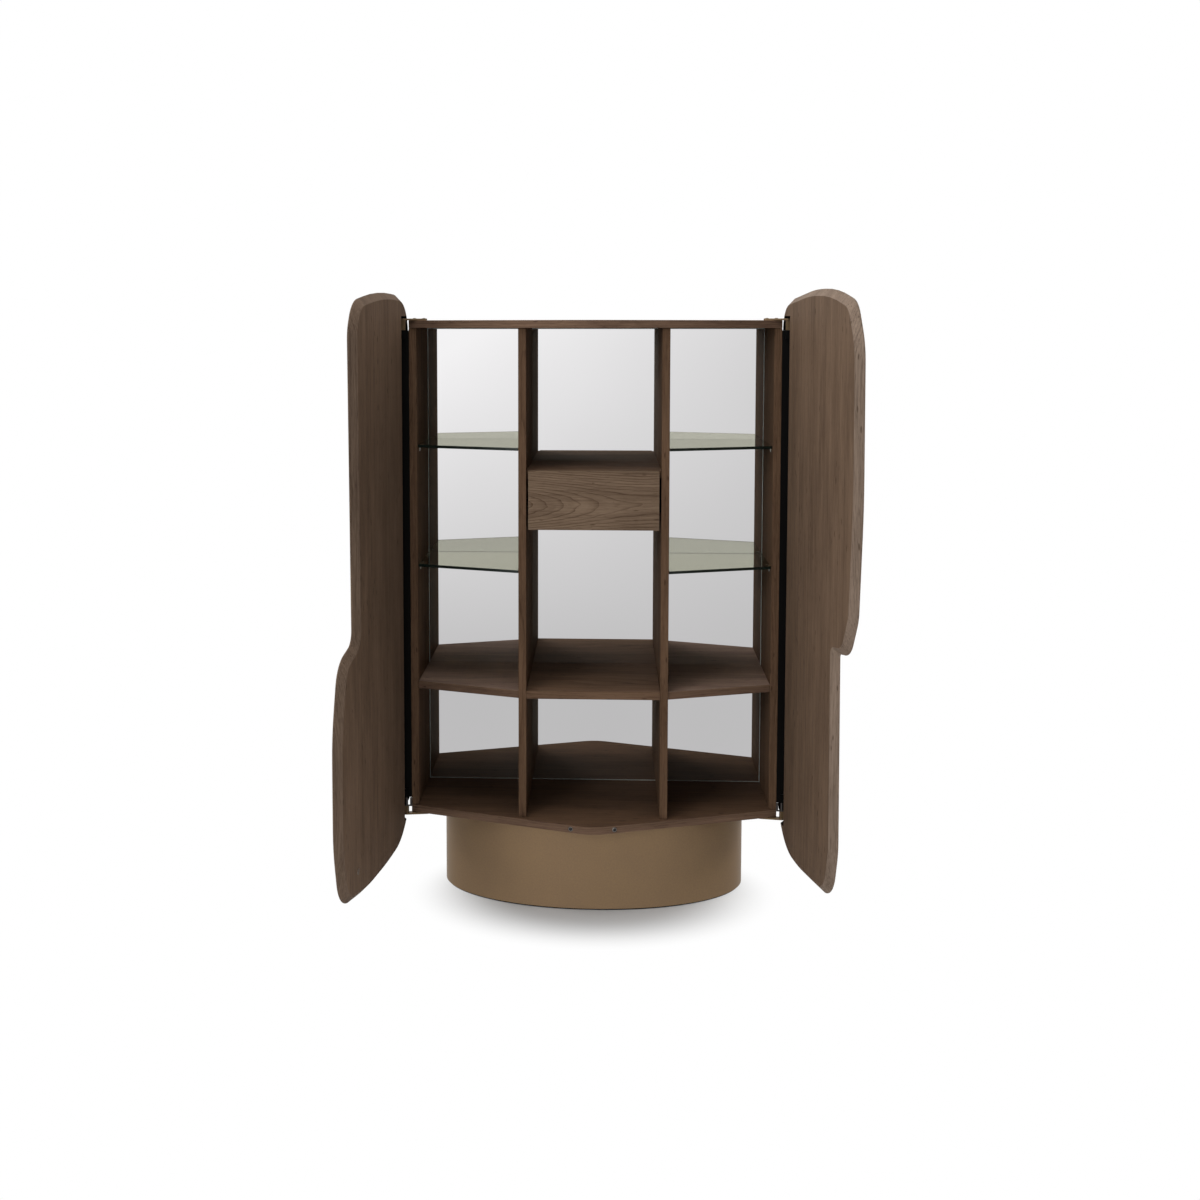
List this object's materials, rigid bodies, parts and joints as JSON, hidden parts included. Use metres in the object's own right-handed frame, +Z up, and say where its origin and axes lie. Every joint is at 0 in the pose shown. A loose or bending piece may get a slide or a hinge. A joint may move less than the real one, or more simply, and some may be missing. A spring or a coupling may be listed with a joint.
{
  "type": "display cabinet",
  "caption": "Free-standing display cabinet: V-shaped front, leaf-shaped bevelled doors on pivots, wood and glass shelves, push-to-open drawer, mirror back, oval drum base",
  "frame": {"origin": "on the floor, at the middle of the oval base's widest section, on the underside of the base's bottom board", "axes": "+Z up, -Y towards the front (the doors open towards -Y), +X to the right seen from the front"},
  "size_m": [1.2917, 0.9332, 1.7477],
  "materials": {
    "stained_wood": "open-pored oak veneer, dark grey-brown stain, matt lacquer",
    "door_wood": "oak veneer with upright grain, dark grey-brown stain, matt lacquer",
    "drawer_front_wood": "oak veneer with lying cathedral grain, grey-brown stain, matt lacquer",
    "drawer_box_wood": "stained birch plywood, sealed",
    "board_dark": "dark stained board",
    "bronze_lacquer": "satin bronze lacquer on a bent panel",
    "mirror": "silvered float glass with polished edges",
    "glass": "clear float glass with ground edges",
    "black_steel": "matt black powder coat",
    "bronze_steel": "satin bronze lacquer on steel",
    "bright_steel": "bright zinc-plated steel",
    "grey_steel": "satin nickel-plated steel",
    "zinc_steel": "zinc-plated steel",
    "grey_plastic": "grey nylon",
    "dark_plastic": "black acetal"
  },
  "bodies": {
    "carcass": {"top_panel": "stained_wood", "bottom_panel": "stained_wood", "left_side_panel": "stained_wood", "right_side_panel": "stained_wood", "left_divider": "stained_wood", "right_divider": "stained_wood", "back_panel": "stained_wood", "back_mirror": "mirror", "middle_shelf_left": "stained_wood", "middle_shelf_centre": "stained_wood", "middle_shelf_right": "stained_wood", "glass_shelf_upper_left": "glass", "glass_shelf_upper_right": "glass", "glass_shelf_lower_left": "glass", "glass_shelf_lower_right": "glass", "shelf_supports_left": "grey_steel", "shelf_supports_right": "grey_steel", "drawer_top_board": "stained_wood", "drawer_runners_fixed": "black_steel", "drawer_back_cover": "board_dark", "drawer_latch_housing": "grey_plastic", "left_top_arm": "bronze_steel", "right_top_arm": "bronze_steel", "left_bottom_arm": "bronze_steel", "right_bottom_arm": "bronze_steel", "left_pivot_pins": "bright_steel", "right_pivot_pins": "bright_steel", "left_pivot_bracket": "bright_steel", "right_pivot_bracket": "bright_steel", "left_arm_screws": "grey_steel", "right_arm_screws": "grey_steel", "left_catch_housing": "grey_plastic", "right_catch_housing": "grey_plastic", "base_drum": "bronze_lacquer", "base_bottom_board": "board_dark", "base_top_board": "board_dark", "base_ribs": "board_dark", "base_bolts": "zinc_steel"},
    "left_door": {"left_door": "door_wood", "left_door_stile": "black_steel", "left_stile_screws": "black_steel", "left_pivot_bushes": "dark_plastic", "left_door_strike": "grey_steel"},
    "right_door": {"right_door": "door_wood", "right_door_stile": "black_steel", "right_stile_screws": "black_steel", "right_pivot_bushes": "dark_plastic"},
    "drawer": {"drawer_front": "drawer_front_wood", "drawer_left_side": "drawer_box_wood", "drawer_right_side": "drawer_box_wood", "drawer_back": "drawer_box_wood", "drawer_bottom": "drawer_box_wood", "drawer_runners_moving": "black_steel"},
    "left_catch_plunger": {"left_catch_plunger": "dark_plastic"},
    "right_catch_plunger": {"right_catch_plunger": "dark_plastic"},
    "drawer_latch_plunger": {"drawer_latch_plunger": "dark_plastic"}
  },
  "joints": [
    {"name": "left_door_hinge", "type": "hinge", "parent": "carcass", "child": "left_door", "pos_m": [-0.5445, -0.1235, 0.95], "axis": [0, 0, 1], "range_deg": [-4, 78]},
    {"name": "right_door_hinge", "type": "hinge", "parent": "carcass", "child": "right_door", "pos_m": [0.5445, -0.1235, 0.95], "axis": [0, 0, -1], "range_deg": [-4, 79]},
    {"name": "drawer_slide", "type": "slide", "parent": "carcass", "child": "drawer", "axis": [0, 1, 0], "range_m": [-0.22, 0]},
    {"name": "left_catch_slide", "type": "slide", "parent": "carcass", "child": "left_catch_plunger", "axis": [0.3256, 0.9455, 0], "range_m": [0, 0.003], "stiffness_N_per_m": 300},
    {"name": "right_catch_slide", "type": "slide", "parent": "carcass", "child": "right_catch_plunger", "axis": [-0.3256, 0.9455, 0], "range_m": [0, 0.003], "stiffness_N_per_m": 300},
    {"name": "drawer_latch_slide", "type": "slide", "parent": "carcass", "child": "drawer_latch_plunger", "axis": [0, 1, 0], "range_m": [0, 0.003], "stiffness_N_per_m": 300}
  ]
}
